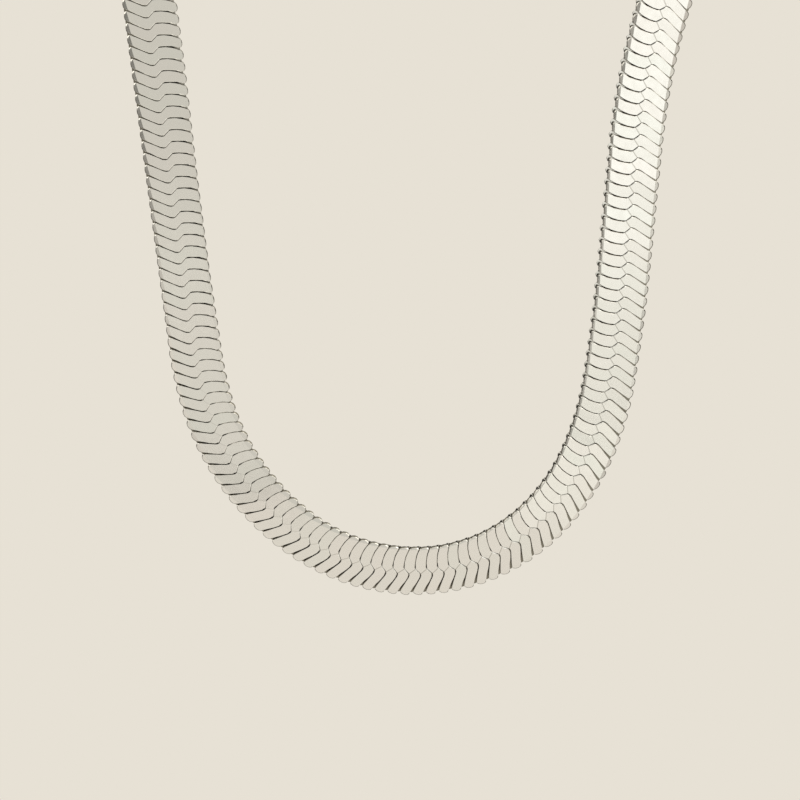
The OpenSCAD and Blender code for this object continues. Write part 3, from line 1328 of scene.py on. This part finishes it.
@dataclass(frozen=True)
class Studio:
    """Pale floor, soft surroundings and soft lights, in metres.

    The floor keeps one even colour inside the camera's view from the front. Outside it, its
    tones are painted shade and painted light for the silver to reflect, like the darker and
    lighter parts of a room, the first being a dark strip of painted shade under the necklace.
    """

    target: tuple = (0.0, -0.06, -0.09)
    floor_z: float = -0.45
    floor_x: tuple = (-4.5, 5.5)
    floor_y: tuple = (-12.0, 6.0)
    floor_colour: tuple = (0.799, 0.753, 0.665, 1.0)
    painted_tones: tuple = (
        # Painted shade: a strip under the necklace (then the plain colour past it), the right side, the
        # left side and far to the front left; painted light: the front right.
        PaintedFloorTone((-9.0, -8.0), (-0.12, -0.02), (0.42, 0.396, 0.35, 1.0)),
        PaintedFloorTone((-9.0, -8.0), (0.12, 0.17), (0.799, 0.753, 0.665, 1.0)),
        PaintedFloorTone((0.45, 0.7), (-0.9, -0.65), (0.55, 0.518, 0.458, 1.0)),
        PaintedFloorTone((-0.45, -0.6), (-0.5, -0.4), (0.3, 0.28, 0.25, 1.0)),
        PaintedFloorTone((-0.1, 0.6), (-1.2, -1.6), (0.97, 0.945, 0.845, 1.0)),
        PaintedFloorTone((-2.9, -3.6), (-5.5, -5.0), (0.3, 0.283, 0.25, 1.0)),
    )
    world_colour: tuple = (0.22, 0.212, 0.187, 1.0)
    boxes: tuple = (
        Softbox("front_low_softbox", -1.5, 6.75, 1.6, 1.2, 0.464, 0.53),
        Softbox("front_high_softbox", 10.25, 27.5, 1.6, 2.22, 0.709, 0.44),
        Softbox("right_softbox", 29.5, 2.45, 1.6, 0.59, 0.22, 0.67, (1.0, 0.985, 0.885)),
        Softbox("high_softbox", 29.5, 10.7, 1.6, 0.59, 0.24, 0.98, (1.0, 1.0, 0.94)),
        Softbox("side_softbox", 60.0, 15.0, 1.6, 1.23, 0.857, 0.42),
        Softbox("far_right_softbox", 104.0, 44.0, 1.6, 2.0, 1.7, 1.1),
        Softbox("far_left_softbox", -108.0, 24.0, 1.6, 1.0, 1.5, 1.3),
        Softbox("top_softbox", 0.0, 88.0, 1.3, 1.6, 1.4, 0.7),
    )

    def build(self) -> None:
        """Makes the floor, the world's plain colour and the lights."""
        scene = bpy.context.scene
        scene.view_settings.view_transform = "Standard"
        mesh = bpy.data.meshes.new("floor")
        (left, right), (front, back) = self.floor_x, self.floor_y
        corners = [(left, front), (right, front), (right, back), (left, back)]
        mesh.from_pydata([(x, y, self.floor_z) for x, y in corners], [], [(0, 1, 2, 3)])
        mesh.materials.append(self._floor_material())
        scene_object("floor", mesh)
        world = bpy.data.worlds.new("studio")
        world.use_nodes = True
        world.node_tree.nodes["Background"].inputs["Color"].default_value = self.world_colour
        scene.world = world
        for box in self.boxes:
            box.build(Vector(self.target))
        log.info("studio: floor, world and %d softboxes", len(self.boxes))

    def _floor_material(self) -> bpy.types.Material:
        """Pale paper that glows with one even colour in the front view and with painted shade and
        painted light outside it.

        Returns:
            The material, whose tones each lie over the ones before.
        """
        material = bpy.data.materials.new("pale_paper")
        material.use_nodes = True
        tree = material.node_tree
        shader = tree.nodes["Principled BSDF"]
        shader.inputs["Base Color"].default_value = (0.0, 0.0, 0.0, 1.0)
        shader.inputs["Specular IOR Level"].default_value = 0.0
        shader.inputs["Emission Strength"].default_value = 1.0
        axes = tree.nodes.new("ShaderNodeSeparateXYZ")
        tree.links.new(tree.nodes.new("ShaderNodeTexCoord").outputs["Object"], axes.inputs["Vector"])
        colour = self.floor_colour
        for tone in self.painted_tones:
            colour = tone.lay(tree, axes, colour)
        tree.links.new(colour, shader.inputs["Emission Color"])
        return material


@dataclass(frozen=True)
class PhotoCamera:
    """Camera at the viewing angle of the photo, in metres and degrees."""

    target: tuple = (-0.0009, -0.07485, -0.09875)
    distance: float = 0.5
    elevation: float = 32.0
    focal_px: float = 2625.0
    picture_px: float = 800.0
    sensor_mm: float = 36.0
    clip: tuple = (0.02, 50.0)

    def build(self) -> None:
        """Makes the camera, at the distance from its target, and gives it to the scene."""
        data = bpy.data.cameras.new("photo_camera")
        data.sensor_width = self.sensor_mm
        data.lens = self.focal_px / self.picture_px * self.sensor_mm
        data.clip_start, data.clip_end = self.clip
        camera = scene_object("photo_camera", data)
        e = math.radians(self.elevation)
        way = Vector((0.0, -math.cos(e), math.sin(e)))
        camera.location = Vector(self.target) + way * self.distance
        camera.rotation_euler = way.to_track_quat("Z", "Y").to_euler()
        bpy.context.scene.camera = camera
        log.info("camera: %.0f mm lens, %.2f m away", data.lens, self.distance)


# Necklace


def main() -> None:
    """Builds the necklace, the studio and the camera."""
    logging.basicConfig(level=logging.INFO, format="%(name)s: %(message)s")
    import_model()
    PhotoCamera().build()
    Studio().build()
    route = Route()
    log.info("route: %d links, lowest link %d", route.link_count, route.low_link)
    links_finish = SilverFinish("silver_links_finish")
    fittings_finish = SilverFinish("silver_fittings_finish", rough=(0.1, 0.16))
    chain = Chain(route, links_finish)
    pieces = chain.build()
    pieces += [EndCap(chain, side).build(fittings_finish) for side in Side]
    pieces.append(Clasp(route).build(fittings_finish))
    for piece in pieces:
        log.info("%s: %d faces", piece.name, len(piece.data.polygons))


if __name__ == "__main__":
    main()
